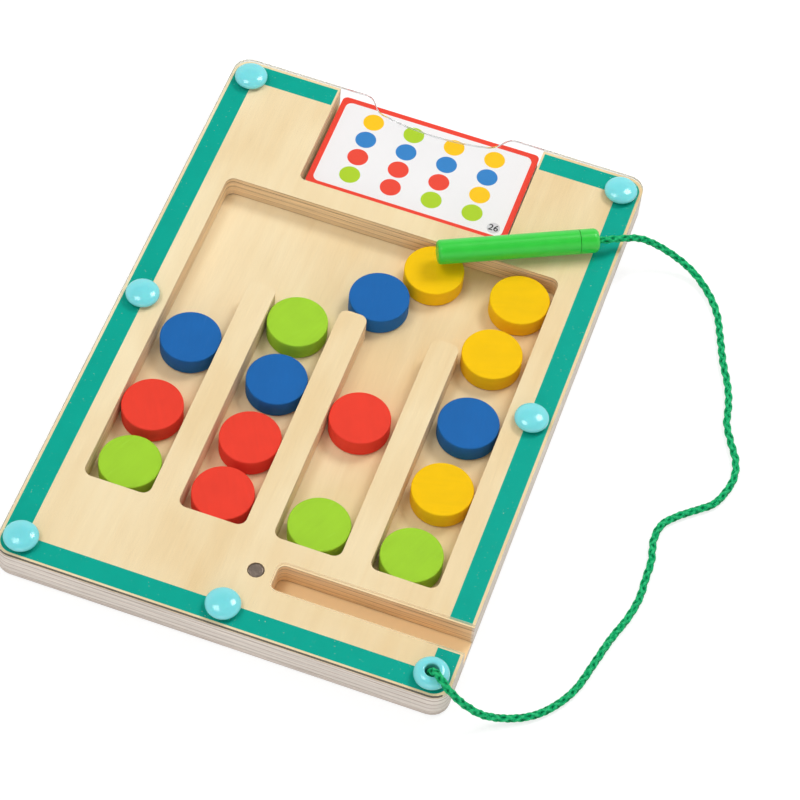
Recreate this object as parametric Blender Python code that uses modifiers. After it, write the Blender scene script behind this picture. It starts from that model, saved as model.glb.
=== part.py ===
"""Magnetic colour-sorting board: a plywood maze under a clear cover, pucks, pattern cards and a pen on a cord.

The origin is the middle of the underside. +X is right, +Y is towards the card slot at the back, +Z is up.
"""

import math

import bpy
from mathutils import Vector

MM = 0.001

# Sheets of the board, from the bottom up.
BOARD_WIDTH = 206.3 * MM
BOARD_LENGTH = 300 * MM
BOARD_CORNER_RADIUS = 8 * MM
BASE_THICKNESS = 2.6 * MM
FRAME_THICKNESS = 11.6 * MM
COVER_THICKNESS = 1.8 * MM

# Gap that touching pieces keep.
SEAM = 0.3 * MM

# Lanes and the open area behind them, cut through the frame.
LANES = 4
DIVIDER_WIDTH = 13.25 * MM
MAZE_SIDE_MARGIN = 21.25 * MM
MAZE_FRONT_MARGIN = 50.75 * MM
MAZE_TO_SLOT = 11.5 * MM
OPEN_AREA_LENGTH = 52.7 * MM
LANE_CORNER_RADIUS = 4 * MM

# Pen tray, open at the right edge, and the magnet beside it.
TRAY_LENGTH = 88.45 * MM
TRAY_WIDTH = 13.6 * MM
TRAY_FRONT_MARGIN = 25.25 * MM
TRAY_CORNER_RADIUS = 3.5 * MM
TRAY_COVER_MARGIN = 0.5 * MM
TRAY_MAGNET_RADIUS = 3.5 * MM
TRAY_MAGNET_THICKNESS = 5 * MM
TRAY_MAGNET_TO_TRAY = 8.6 * MM

# Cards, and their slot, open at the back edge.
CARD_WIDTH = 99.5 * MM
CARD_HEIGHT = 56.5 * MM
CARD_SIDE_PLAY = 1.65 * MM
CARD_FRONT_PLAY = 2.45 * MM
SLOT_SHIFT_X = 0.3 * MM
SLOT_CORNER_RADIUS = 3 * MM
CARD_THICKNESS = 0.5 * MM
CARD_CORNER_RADIUS = 2.5 * MM
CARD_BELOW_FRAME_TOP = 4.3 * MM
CARD_TO_BACK_EDGE = 0.2 * MM
CARD_SHIFT_X = 0.35 * MM
STACK_TO_BACK_EDGE = 1.8 * MM

# Thumb notch in the cover, over the back edge of the card.
NOTCH_MOUTH_WIDTH = 70 * MM
NOTCH_MOUTH_RADIUS = 6 * MM
NOTCH_FOOT_WIDTH = 58 * MM
NOTCH_FOOT_DEPTH = 8.2 * MM
NOTCH_FOOT_RADIUS = 8 * MM
NOTCH_DEPTH = 11.9 * MM

# Screws that clamp the cover, their caps, and the grommet that takes one corner's place.
FASTENER_INSET = 9.95 * MM
FASTENER_BACK_INSET = 10.95 * MM
FRONT_FASTENER_X = -0.6 * MM
SCREW_SHANK_RADIUS = 1.75 * MM
SCREW_LENGTH = 12 * MM
SCREW_POINT = 3 * MM
SCREW_HEAD_RADIUS = 4.2 * MM
SCREW_HEAD_HEIGHT = 1.7 * MM
CAP_RADIUS = 7.8 * MM
CAP_LIP = 0.7 * MM
CAP_CROWN = 1.2 * MM
CAP_HEAD_ROOM = 0.8 * MM
GROMMET_CORD_PLAY = 1.35 * MM
GROMMET_WALL = 1.3 * MM
GROMMET_SHANK_IN_FRAME = 4.5 * MM
KNOT_PLAY = 0.8 * MM

# Pucks and the steel slugs in their undersides.
PUCK_SIDE_PLAY = 1.5 * MM
PUCK_HEAD_ROOM = 2.2 * MM
PUCK_EDGE = 0.5 * MM
SLUG_RADIUS = 5 * MM
SLUG_THICKNESS = 5 * MM

# Pucks in each lane from its front end: colour, lean from the left wall (-1) to the right (1),
# and the gap to what is in front of it, as a share of the length that the lane's pucks leave free.
LANE_PUCKS = (
    (("green", 0.75, 0.0075), ("red", -1.0, 0.040), ("blue", 0.9, 0.135)),
    (("red", 0.4, 0.0045), ("red", 1.0, 0.056), ("blue", 1.0, 0.087), ("green", -1.0, 0.080)),
    (("green", 0.9, 0.0025), ("red", -1.0, 0.256)),
    (
        ("green", -0.5, 0.008),
        ("yellow", 0.9, 0.233),
        ("blue", 0.6, 0.251),
        ("yellow", -1.0, 0.308),
        ("yellow", 1.0, 0.153),
    ),
)

# Pucks in the open area: a blue one at the end of the middle divider, a yellow one at the back wall.
BLUE_PUCK_FROM_DIVIDER_EDGE = 0.2 * MM
YELLOW_PUCK_TO_BLUE = 2.4 * MM

# Pen, lying on the cover with its tip over the yellow puck.
PEN_RADIUS = 5.75 * MM
PEN_LENGTH = 76 * MM
PEN_TIP_RADIUS = 1.8 * MM
PEN_TIP_WALL = 1.5 * MM
PEN_WALL = 1.5 * MM
PEN_TIP_X = 25 * MM
PEN_TIP_Y = 67.75 * MM
PEN_HEADING = math.radians(27.2)
PLUG_HEAD_LENGTH = 9 * MM
PLUG_EDGE_RADIUS = 2.5 * MM
PLUG_SPIGOT_LENGTH = 7 * MM
PEN_MAGNET_LENGTH = 12 * MM

# Cord, from the knot under the grommet to the tail of the pen.
CORD_RADIUS = 1.75 * MM
CORD_CLEARANCE = 0.4 * MM
CORD_POINT_SPACING = 7.5 * MM
CORD_STRAIGHT_AT_PEN = 4.5 * MM
CORD_LEAN_X = -0.9 * MM
CORD_LEAN_Y = 0.7 * MM
CORD_ROUTE_MM = (
    (92.3, -139.3, 12.8),
    (92.5, -139.5, 16.4),
    (93.5, -140.3, 19.7),
    (95.6, -142.0, 22.1),
    (98.6, -144.4, 23.0),
    (101.9, -146.6, 21.6),
    (106.5, -147.5, 17.8),
    (111.3, -147.2, 13.1),
    (119.3, -145.3, 6.8),
    (129.6, -140.6, 2.9),
    (138.9, -134.7, 1.9),
    (146.3, -126.3, 1.8),
    (151.7, -115.7, 1.8),
    (155.1, -101.9, 1.8),
    (158.3, -87.9, 1.8),
    (162.3, -74.7, 1.8),
    (164.2, -63.4, 1.8),
    (164.0, -53.4, 1.8),
    (163.7, -42.8, 1.8),
    (161.7, -32.4, 1.8),
    (162.7, -23.4, 1.8),
    (167.9, -16.5, 1.8),
    (174.8, -10.3, 1.8),
    (181.5, -4.0, 1.8),
    (185.1, 4.8, 1.8),
    (186.3, 13.6, 1.8),
    (184.4, 22.2, 1.8),
    (179.9, 30.6, 1.8),
    (175.5, 39.7, 1.8),
    (173.4, 50.1, 1.8),
    (170.1, 60.4, 1.8),
    (164.4, 72.8, 1.8),
    (159.7, 85.1, 1.8),
    (154.4, 98.1, 1.8),
    (146.6, 108.8, 2.2),
    (135.7, 116.3, 4.9),
    (122.7, 118.1, 10.6),
    (110.8, 114.4, 18.1),
    (101.8, 107.8, 22.0),
)

# Facets of round pieces.
ARC_STEPS = 6
HOLE_STEPS = 16
SMALL_STEPS = 14
SLUG_STEPS = 14
CAP_STEPS = 20
PUCK_STEPS = 26
PEN_STEPS = 24
DOME_STEPS = 6
NOTCH_STEPS = 8
MERGE_DISTANCE = 0.00001

# Levels and edges that follow from the sizes above.
RIGHT = BOARD_WIDTH / 2
BACK = BOARD_LENGTH / 2
FLOOR_Z = BASE_THICKNESS + SEAM
FRAME_TOP = FLOOR_Z + FRAME_THICKNESS
COVER_BOTTOM = FRAME_TOP + SEAM
COVER_TOP = COVER_BOTTOM + COVER_THICKNESS
CAP_BOTTOM = COVER_TOP + SEAM
SCREW_SEAT = COVER_TOP + SEAM
SLOT_WIDTH = CARD_WIDTH + 2 * CARD_SIDE_PLAY
SLOT_FRONT = BACK - CARD_TO_BACK_EDGE - CARD_HEIGHT - CARD_FRONT_PLAY
MAZE_WIDTH = BOARD_WIDTH - 2 * MAZE_SIDE_MARGIN
MAZE_LEFT = -MAZE_WIDTH / 2
MAZE_RIGHT = MAZE_WIDTH / 2
MAZE_FRONT = MAZE_FRONT_MARGIN - BACK
MAZE_BACK = SLOT_FRONT - MAZE_TO_SLOT
DIVIDER_BACK = MAZE_BACK - OPEN_AREA_LENGTH
LANE_WIDTH = (MAZE_WIDTH - (LANES - 1) * DIVIDER_WIDTH) / LANES
LANE_PITCH = LANE_WIDTH + DIVIDER_WIDTH
PUCK_RADIUS = LANE_WIDTH / 2 - PUCK_SIDE_PLAY
PUCK_HEIGHT = FRAME_THICKNESS - PUCK_HEAD_ROOM
TRAY_LEFT = RIGHT - TRAY_LENGTH
TRAY_FRONT = TRAY_FRONT_MARGIN - BACK
TRAY_BACK = TRAY_FRONT + TRAY_WIDTH
SCREW_HOLE_RADIUS = SCREW_SHANK_RADIUS + SEAM
GROMMET_BORE_RADIUS = CORD_RADIUS + GROMMET_CORD_PLAY
GROMMET_SHANK_RADIUS = GROMMET_BORE_RADIUS + GROMMET_WALL
GROMMET_HOLE_RADIUS = GROMMET_SHANK_RADIUS + SEAM
KNOT_RADIUS = GROMMET_HOLE_RADIUS - KNOT_PLAY
CAP_RECESS_RADIUS = SCREW_HEAD_RADIUS + 2 * SEAM
CAP_RECESS_HEIGHT = SCREW_HEAD_HEIGHT + CAP_HEAD_ROOM
CAP_HEIGHT = CAP_RECESS_HEIGHT + CAP_CROWN
SLUG_POCKET_RADIUS = SLUG_RADIUS + SEAM
PEN_BORE_RADIUS = PEN_RADIUS - PEN_WALL
PEN_BARREL_LENGTH = PEN_LENGTH - PLUG_HEAD_LENGTH - SEAM
PLUG_HOLE_RADIUS = CORD_RADIUS + CORD_CLEARANCE
MIDDLE_ROW_Y = (FASTENER_INSET - FASTENER_BACK_INSET) / 2

# Where each screw and cap goes.
FASTENERS = {
    "back_left": (FASTENER_INSET - RIGHT, BACK - FASTENER_BACK_INSET),
    "back_right": (RIGHT - FASTENER_INSET, BACK - FASTENER_BACK_INSET),
    "left": (FASTENER_INSET - RIGHT, MIDDLE_ROW_Y),
    "right": (RIGHT - FASTENER_INSET, MIDDLE_ROW_Y),
    "front_left": (FASTENER_INSET - RIGHT, FASTENER_INSET - BACK),
    "front": (FRONT_FASTENER_X, FASTENER_INSET - BACK),
}
GROMMET_PLACE = (RIGHT - FASTENER_INSET, FASTENER_INSET - BACK)

# Finishes: colour as shown on screen, roughness, metallic.
FINISHES = {
    "birch_plywood": ((243, 221, 176), 0.55, 0.0),
    "clear_plastic": ((236, 242, 242), 0.05, 0.0),
    "blue_plastic": ((128, 226, 231), 0.25, 0.0),
    "steel": ((150, 146, 142), 0.35, 1.0),
    "magnet": ((122, 112, 106), 0.4, 1.0),
    "puck_green": ((168, 214, 56), 0.5, 0.0),
    "puck_red": ((240, 66, 50), 0.5, 0.0),
    "puck_blue": ((30, 104, 176), 0.5, 0.0),
    "puck_yellow": ((249, 197, 10), 0.5, 0.0),
    "card": ((244, 241, 239), 0.4, 0.0),
    "green_plastic": ((50, 203, 62), 0.3, 0.0),
    "green_cord": ((0, 150, 78), 0.7, 0.0),
}


def clear_scene():
    for thing in list(bpy.data.objects):
        bpy.data.objects.remove(thing, do_unlink=True)


def new_collection(name):
    collection = bpy.data.collections.new(name)
    bpy.context.scene.collection.children.link(collection)
    return collection


def linear(level):
    """A screen colour level, 0 to 255, as linear light."""
    share = level / 255
    if share <= 0.04045:
        return share / 12.92
    return ((share + 0.055) / 1.055) ** 2.4


def make_finish(name):
    colour, roughness, metallic = FINISHES[name]
    material = bpy.data.materials.new(name)
    material.use_nodes = True
    shader = material.node_tree.nodes["Principled BSDF"]
    shader.inputs["Base Color"].default_value = [linear(level) for level in colour] + [1]
    shader.inputs["Roughness"].default_value = roughness
    shader.inputs["Metallic"].default_value = metallic
    return material


def rounded(corners):
    """The outline through corners (x, y, radius), each rounded by an arc of its radius."""
    points = []
    for index, (x, y, radius) in enumerate(corners):
        corner = Vector((x, y))
        if radius == 0:
            points.append(corner)
            continue
        to_before = (Vector(corners[index - 1][:2]) - corner).normalized()
        to_after = (Vector(corners[(index + 1) % len(corners)][:2]) - corner).normalized()
        half_angle = to_before.angle(to_after) / 2
        centre = corner + (to_before + to_after).normalized() * radius / math.sin(half_angle)
        start = corner + to_before * radius / math.tan(half_angle) - centre
        end = corner + to_after * radius / math.tan(half_angle) - centre
        sweep = math.atan2(start.x * end.y - start.y * end.x, start.dot(end))
        first = math.atan2(start.y, start.x)
        for step in range(ARC_STEPS + 1):
            angle = first + sweep * step / ARC_STEPS
            points.append(centre + radius * Vector((math.cos(angle), math.sin(angle))))
    return points


def round_hole(place, radius):
    """A round hole's outline, with its flats at the radius."""
    corner_radius = radius / math.cos(math.pi / HOLE_STEPS)
    angles = [2 * math.pi * step / HOLE_STEPS for step in range(HOLE_STEPS)]
    middle = Vector(place)
    return [middle + corner_radius * Vector((math.cos(angle), math.sin(angle))) for angle in angles]


def sheet(name, outlines, bottom, thickness, finish):
    """A flat sheet: the first outline is its edge, the others are holes."""
    curve = bpy.data.curves.new(name, "CURVE")
    curve.dimensions = "2D"
    curve.fill_mode = "BOTH"
    curve.extrude = thickness / 2
    for outline in outlines:
        spline = curve.splines.new("POLY")
        spline.points.add(len(outline) - 1)
        for point, place in zip(spline.points, outline):
            point.co = (place.x, place.y, 0, 1)
        spline.use_cyclic_u = True
    part = bpy.data.objects.new(name, curve)
    part.location.z = bottom + thickness / 2
    curve.materials.append(finish)
    PARTS.objects.link(part)
    return part


def turned(name, profile, steps, finish, ring=False):
    """A piece turned round Z from (radius, height) points that run down its outer side.

    The profile of a ring closes on itself. Any other starts and ends on the axis.
    """
    mesh = bpy.data.meshes.new(name)
    edges = [(index, index + 1) for index in range(len(profile) - 1)]
    if ring:
        edges.append((len(profile) - 1, 0))
    mesh.from_pydata([(radius, 0, height) for radius, height in profile], edges, [])
    mesh.materials.append(finish)
    part = bpy.data.objects.new(name, mesh)
    PARTS.objects.link(part)
    screw = part.modifiers.new("Turn", "SCREW")
    screw.axis = "Z"
    screw.angle = 2 * math.pi
    screw.steps = steps
    screw.render_steps = steps
    screw.use_merge_vertices = True
    screw.merge_threshold = MERGE_DISTANCE
    return part


def rod(name, radius, length, steps, finish):
    """A plain turned rod that stands on its origin."""
    return turned(name, [(0, length), (radius, length), (radius, 0), (0, 0)], steps, finish)


def as_mesh(part):
    """The curve object made a mesh with its caps welded, so that it can be cut."""
    graph = bpy.context.evaluated_depsgraph_get()
    mesh = bpy.data.meshes.new_from_object(part.evaluated_get(graph))
    name = part.name
    place = part.location.copy()
    bpy.data.objects.remove(part, do_unlink=True)
    solid = bpy.data.objects.new(name, mesh)
    solid.location = place
    PARTS.objects.link(solid)
    weld = solid.modifiers.new("Weld", "WELD")
    weld.merge_threshold = MERGE_DISTANCE
    return solid


def board_outline(openings_right, openings_back):
    """The board's edge, with the corners of what opens at its right and back edges."""
    radius = BOARD_CORNER_RADIUS
    corners = [(-RIGHT, -BACK, radius), (RIGHT, -BACK, radius)]
    corners += openings_right
    corners.append((RIGHT, BACK, radius))
    corners += openings_back
    corners.append((-RIGHT, BACK, radius))
    return rounded(corners)


def tray_corners(margin):
    left = TRAY_LEFT - margin
    front = TRAY_FRONT - margin
    back = TRAY_BACK + margin
    radius = TRAY_CORNER_RADIUS + margin
    return [(RIGHT, front, 0), (left, front, radius), (left, back, radius), (RIGHT, back, 0)]


def slot_corners():
    left = SLOT_SHIFT_X - SLOT_WIDTH / 2
    right = SLOT_SHIFT_X + SLOT_WIDTH / 2
    radius = SLOT_CORNER_RADIUS
    return [(right, BACK, 0), (right, SLOT_FRONT, radius), (left, SLOT_FRONT, radius), (left, BACK, 0)]


def notch_corners():
    """The thumb notch from right to left: rounded mouth, sloping sides and a shallow arc between them."""
    mouth = NOTCH_MOUTH_WIDTH / 2
    foot = NOTCH_FOOT_WIDTH / 2
    corners = [
        (mouth, BACK, NOTCH_MOUTH_RADIUS),
        (foot, BACK - NOTCH_FOOT_DEPTH, NOTCH_FOOT_RADIUS),
    ]
    for step in range(1, NOTCH_STEPS):
        share = 1 - 2 * step / NOTCH_STEPS
        depth = NOTCH_DEPTH - (NOTCH_DEPTH - NOTCH_FOOT_DEPTH) * share**2
        corners.append((foot * share, BACK - depth, 0))
    corners.append((-foot, BACK - NOTCH_FOOT_DEPTH, NOTCH_FOOT_RADIUS))
    corners.append((-mouth, BACK, NOTCH_MOUTH_RADIUS))
    return corners


def lane_left(lane):
    return MAZE_LEFT + lane * LANE_PITCH


def maze_outline():
    """The open area and the four lanes, as one hole with the dividers standing into it."""
    radius = LANE_CORNER_RADIUS
    corners = [(MAZE_RIGHT, MAZE_BACK, radius), (MAZE_LEFT, MAZE_BACK, radius)]
    for lane in range(LANES):
        left = lane_left(lane)
        right = left + LANE_WIDTH
        if lane > 0:
            corners.append((left, DIVIDER_BACK, radius))
        corners.append((left, MAZE_FRONT, radius))
        corners.append((right, MAZE_FRONT, radius))
        if lane < LANES - 1:
            corners.append((right, DIVIDER_BACK, radius))
    return rounded(corners)


def fastener_holes():
    holes = [round_hole(place, SCREW_HOLE_RADIUS) for place in FASTENERS.values()]
    holes.append(round_hole(GROMMET_PLACE, GROMMET_HOLE_RADIUS))
    return holes


def make_base_board(finish):
    return sheet("base_board", [board_outline([], [])], 0, BASE_THICKNESS, finish)


def make_maze_frame(finish):
    edge = board_outline(tray_corners(0), slot_corners())
    outlines = [edge, maze_outline()] + fastener_holes()
    frame = as_mesh(sheet("maze_frame", outlines, FLOOR_Z, FRAME_THICKNESS, finish))
    cut = frame.modifiers.new("Magnet pocket", "BOOLEAN")
    cut.operation = "DIFFERENCE"
    cut.solver = "EXACT"
    cut.object = magnet_pocket_cutter()
    return frame


def tray_magnet_place():
    return (TRAY_LEFT - TRAY_MAGNET_TO_TRAY, (TRAY_FRONT + TRAY_BACK) / 2)


def magnet_pocket_cutter():
    depth = TRAY_MAGNET_THICKNESS + SEAM
    bpy.ops.mesh.primitive_cylinder_add(
        vertices=SMALL_STEPS,
        radius=TRAY_MAGNET_RADIUS + SEAM,
        depth=2 * depth,
        location=(*tray_magnet_place(), FRAME_TOP),
    )
    cutter = bpy.context.object
    cutter.name = "magnet_pocket"
    for collection in list(cutter.users_collection):
        collection.objects.unlink(cutter)
    CUTTERS.objects.link(cutter)
    cutter.hide_render = True
    cutter.display_type = "WIRE"
    return cutter


def make_tray_magnet(finish):
    magnet = rod("tray_magnet", TRAY_MAGNET_RADIUS, TRAY_MAGNET_THICKNESS, SMALL_STEPS, finish)
    magnet.location = (*tray_magnet_place(), FRAME_TOP - TRAY_MAGNET_THICKNESS)


def make_clear_cover(finish):
    outlines = [board_outline(tray_corners(TRAY_COVER_MARGIN), notch_corners())] + fastener_holes()
    return sheet("clear_cover", outlines, COVER_BOTTOM, COVER_THICKNESS, finish)


def dome(crest_radius, crest_height):
    """Points down a dome from its crest to its lip, as a quarter of an ellipse."""
    points = []
    for step in range(DOME_STEPS + 1):
        angle = math.pi / 2 * step / DOME_STEPS
        radius = crest_radius + (CAP_RADIUS - crest_radius) * math.sin(angle)
        points.append((radius, CAP_LIP + (crest_height - CAP_LIP) * math.cos(angle)))
    return points


def make_screw(corner, place, finish):
    half_head = SCREW_HEAD_HEIGHT / 2
    profile = [
        (0, SCREW_HEAD_HEIGHT),
        (SCREW_HEAD_RADIUS - half_head, SCREW_HEAD_HEIGHT),
        (SCREW_HEAD_RADIUS, half_head),
        (SCREW_HEAD_RADIUS, 0),
        (SCREW_SHANK_RADIUS, 0),
        (SCREW_SHANK_RADIUS, SCREW_POINT - SCREW_LENGTH),
        (0, -SCREW_LENGTH),
    ]
    screw = turned(f"screw_{corner}", profile, SMALL_STEPS, finish)
    screw.location = (*place, SCREW_SEAT)


def make_cap(corner, place, finish):
    profile = dome(0, CAP_HEIGHT)
    profile += [
        (CAP_RADIUS, 0),
        (CAP_RECESS_RADIUS, 0),
        (CAP_RECESS_RADIUS, CAP_RECESS_HEIGHT),
        (0, CAP_RECESS_HEIGHT),
    ]
    cap = turned(f"cap_{corner}", profile, CAP_STEPS, finish)
    cap.location = (*place, CAP_BOTTOM)


def grommet_shank_bottom():
    """Height of the shank's end above the grommet's origin, at the cap seat."""
    return FRAME_TOP - GROMMET_SHANK_IN_FRAME - CAP_BOTTOM


def make_grommet(finish):
    crest = (GROMMET_BORE_RADIUS + CAP_RADIUS) / 2
    profile = dome(crest, CAP_HEIGHT)
    profile += [
        (CAP_RADIUS, 0),
        (GROMMET_SHANK_RADIUS, 0),
        (GROMMET_SHANK_RADIUS, grommet_shank_bottom()),
        (GROMMET_BORE_RADIUS, grommet_shank_bottom()),
    ]
    flare = crest - GROMMET_BORE_RADIUS
    for step in range(DOME_STEPS):
        angle = math.pi / 2 * step / DOME_STEPS
        profile.append((crest - flare * math.cos(angle), CAP_HEIGHT - flare + flare * math.sin(angle)))
    grommet = turned("cord_grommet", profile, CAP_STEPS, finish, ring=True)
    grommet.location = (*GROMMET_PLACE, CAP_BOTTOM)


def ball(radius, half_height, middle):
    """Points down the side of a flattened ball, from its top to its bottom."""
    points = []
    for step in range(2 * DOME_STEPS + 1):
        angle = math.pi * step / (2 * DOME_STEPS)
        points.append((radius * math.sin(angle), middle + half_height * math.cos(angle)))
    points[0] = (0, middle + half_height)
    points[-1] = (0, middle - half_height)
    return points


def knot_top():
    return CAP_BOTTOM + grommet_shank_bottom() - SEAM


def make_cord_knot(finish):
    half_height = (knot_top() - FLOOR_Z) / 2
    knot = turned("cord_knot", ball(KNOT_RADIUS, half_height, 0), SMALL_STEPS, finish)
    knot.location = (*GROMMET_PLACE, FLOOR_Z + half_height)


def make_puck(name, x, y, finishes, colour):
    """A puck with a blind pocket in its underside, and the steel slug in it."""
    inner = PUCK_RADIUS - PUCK_EDGE
    pocket_depth = SLUG_THICKNESS + SEAM
    profile = [
        (0, PUCK_HEIGHT),
        (inner, PUCK_HEIGHT),
        (PUCK_RADIUS, PUCK_HEIGHT - PUCK_EDGE),
        (PUCK_RADIUS, PUCK_EDGE),
        (inner, 0),
        (SLUG_POCKET_RADIUS, 0),
        (SLUG_POCKET_RADIUS, pocket_depth),
        (0, pocket_depth),
    ]
    puck = turned(f"puck_{name}", profile, PUCK_STEPS, finishes[f"puck_{colour}"])
    puck.location = (x, y, FLOOR_Z)
    slug = rod(f"slug_{name}", SLUG_RADIUS, SLUG_THICKNESS, SLUG_STEPS, finishes["steel"])
    slug.parent = puck


def puck_places():
    """Colour and place of every puck: the lanes from left to right, then the open area."""
    places = []
    lean_room = PUCK_SIDE_PLAY - SEAM
    for lane, row in enumerate(LANE_PUCKS):
        middle = lane_left(lane) + LANE_WIDTH / 2
        free_length = MAZE_BACK - MAZE_FRONT - 2 * PUCK_RADIUS * len(row)
        front = MAZE_FRONT
        for colour, lean, gap_share in row:
            y = front + gap_share * free_length + PUCK_RADIUS
            places.append((colour, middle + lean * lean_room, y))
            front = y + PUCK_RADIUS
    blue_x = lane_left(2) + BLUE_PUCK_FROM_DIVIDER_EDGE
    blue_y = DIVIDER_BACK + PUCK_RADIUS + SEAM
    places.append(("blue", blue_x, blue_y))
    apart = 2 * PUCK_RADIUS + YELLOW_PUCK_TO_BLUE
    yellow_y = MAZE_BACK - PUCK_RADIUS - SEAM
    yellow_x = blue_x + math.sqrt(max(apart**2 - (yellow_y - blue_y) ** 2, 0))
    places.append(("yellow", yellow_x, yellow_y))
    return places


def make_pucks(finishes):
    made = {}
    for colour, x, y in puck_places():
        made[colour] = made.get(colour, 0) + 1
        make_puck(f"{colour}_{made[colour]}", x, y, finishes, colour)


def card_outline(to_back_edge):
    middle = SLOT_SHIFT_X + CARD_SHIFT_X
    left = middle - CARD_WIDTH / 2
    right = middle + CARD_WIDTH / 2
    back = BACK - to_back_edge
    front = back - CARD_HEIGHT
    radius = CARD_CORNER_RADIUS
    return rounded([(left, front, radius), (right, front, radius), (right, back, radius), (left, back, radius)])


def make_cards(finish):
    card_bottom = FRAME_TOP - CARD_BELOW_FRAME_TOP - CARD_THICKNESS
    sheet("pattern_card", [card_outline(CARD_TO_BACK_EDGE)], card_bottom, CARD_THICKNESS, finish)
    stack_thickness = card_bottom - SEAM - FLOOR_Z
    sheet("card_stack", [card_outline(STACK_TO_BACK_EDGE)], FLOOR_Z, stack_thickness, finish)


def quarter_arc(middle_radius, middle_height, radius, first_angle):
    """Points of a quarter circle in a profile, turning clockwise from first_angle."""
    points = []
    for step in range(ARC_STEPS + 1):
        angle = first_angle - math.pi / 2 * step / ARC_STEPS
        points.append((middle_radius + radius * math.cos(angle), middle_height + radius * math.sin(angle)))
    return points


def pen_point(from_tip):
    """The point on the pen's axis at this distance from its tip, or past its tail."""
    x = PEN_TIP_X + from_tip * math.cos(PEN_HEADING)
    y = PEN_TIP_Y + from_tip * math.sin(PEN_HEADING)
    return Vector((x, y, COVER_TOP + SEAM + PEN_RADIUS))


def make_pen(plastic, steel, cord):
    """The pen's pieces, each turned round the pen's axis with its tip at the origin."""
    axis = bpy.data.objects.new("pen_axis", None)
    axis.location = pen_point(0)
    axis.rotation_euler = (0, math.pi / 2, PEN_HEADING)
    PARTS.objects.link(axis)

    tip_flat = PEN_RADIUS - PEN_TIP_RADIUS
    profile = [
        (0, PEN_TIP_WALL),
        (PEN_BORE_RADIUS, PEN_TIP_WALL),
        (PEN_BORE_RADIUS, PEN_BARREL_LENGTH),
        (PEN_RADIUS, PEN_BARREL_LENGTH),
    ]
    profile += quarter_arc(tip_flat, PEN_TIP_RADIUS, PEN_TIP_RADIUS, 0)
    profile.append((0, 0))
    barrel = turned("pen_barrel", profile, PEN_STEPS, plastic)
    barrel.parent = axis

    head_bottom = PEN_LENGTH - PLUG_HEAD_LENGTH
    spigot_radius = PEN_BORE_RADIUS - SEAM
    spigot_end = PEN_BARREL_LENGTH - PLUG_SPIGOT_LENGTH
    end_flat = PEN_RADIUS - PLUG_EDGE_RADIUS
    profile = quarter_arc(end_flat, PEN_LENGTH - PLUG_EDGE_RADIUS, PLUG_EDGE_RADIUS, math.pi / 2)
    profile += [
        (PEN_RADIUS, head_bottom),
        (spigot_radius, head_bottom),
        (spigot_radius, spigot_end),
        (PLUG_HOLE_RADIUS, spigot_end),
        (PLUG_HOLE_RADIUS, PEN_LENGTH),
    ]
    plug = turned("pen_tail_plug", profile, PEN_STEPS, plastic, ring=True)
    plug.parent = axis

    magnet = rod("pen_magnet", PEN_BORE_RADIUS - SEAM, PEN_MAGNET_LENGTH, SMALL_STEPS, steel)
    magnet.location.z = PEN_TIP_WALL + SEAM
    magnet.parent = axis

    knot_radius = PEN_BORE_RADIUS - SEAM
    knot_middle = spigot_end - SEAM - knot_radius
    profile = [(0, PEN_LENGTH), (CORD_RADIUS, PEN_LENGTH)]
    below_stem = [point for point in ball(knot_radius, knot_radius, knot_middle)[1:] if point[0] > CORD_RADIUS]
    profile += below_stem
    profile.append((0, knot_middle - knot_radius))
    cord_end = turned("pen_cord_end", profile, SMALL_STEPS, cord)
    cord_end.parent = axis


def cord_route():
    """The route's own points: up out of the grommet, over the corner, along the ground and into the pen."""
    x, y = GROMMET_PLACE
    start = Vector((x + CORD_LEAN_X, y + CORD_LEAN_Y, knot_top() + SEAM))
    middle = [Vector(point) * MM for point in CORD_ROUTE_MM]
    return [start] + middle + [pen_point(PEN_LENGTH + CORD_STRAIGHT_AT_PEN), pen_point(PEN_LENGTH + SEAM)]


def smooth_route(route, spacing):
    """Points about one spacing apart on the smooth curve through the route's own points."""
    route = [2 * route[0] - route[1]] + route + [2 * route[-1] - route[-2]]
    smooth = []
    for before, start, end, after in zip(route, route[1:], route[2:], route[3:]):
        steps = max(1, math.ceil((end - start).length / spacing))
        for step in range(steps):
            t = step / steps
            smooth.append(
                0.5
                * (
                    2 * start
                    + (end - before) * t
                    + (2 * before - 5 * start + 4 * end - after) * t**2
                    + (3 * start - before - 3 * end + after) * t**3
                )
            )
    smooth.append(route[-2])
    return smooth


def make_cord(finish):
    curve = bpy.data.curves.new("cord", "CURVE")
    curve.dimensions = "3D"
    curve.bevel_depth = CORD_RADIUS
    curve.bevel_resolution = 2
    curve.use_fill_caps = True
    places = smooth_route(cord_route(), CORD_POINT_SPACING)
    spline = curve.splines.new("POLY")
    spline.points.add(len(places) - 1)
    for point, place in zip(spline.points, places):
        point.co = (*place, 1)
    curve.materials.append(finish)
    PARTS.objects.link(bpy.data.objects.new("cord", curve))


def main():
    finishes = {name: make_finish(name) for name in FINISHES}
    make_base_board(finishes["birch_plywood"])
    make_maze_frame(finishes["birch_plywood"])
    make_clear_cover(finishes["clear_plastic"])
    make_tray_magnet(finishes["magnet"])
    for corner, place in FASTENERS.items():
        make_screw(corner, place, finishes["steel"])
        make_cap(corner, place, finishes["blue_plastic"])
    make_grommet(finishes["blue_plastic"])
    make_pucks(finishes)
    make_cards(finishes["card"])
    make_pen(finishes["green_plastic"], finishes["magnet"], finishes["green_cord"])
    make_cord_knot(finishes["green_cord"])
    make_cord(finishes["green_cord"])


clear_scene()
PARTS = new_collection("colour_sorting_board")
CUTTERS = new_collection("cutters")
main()
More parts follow.
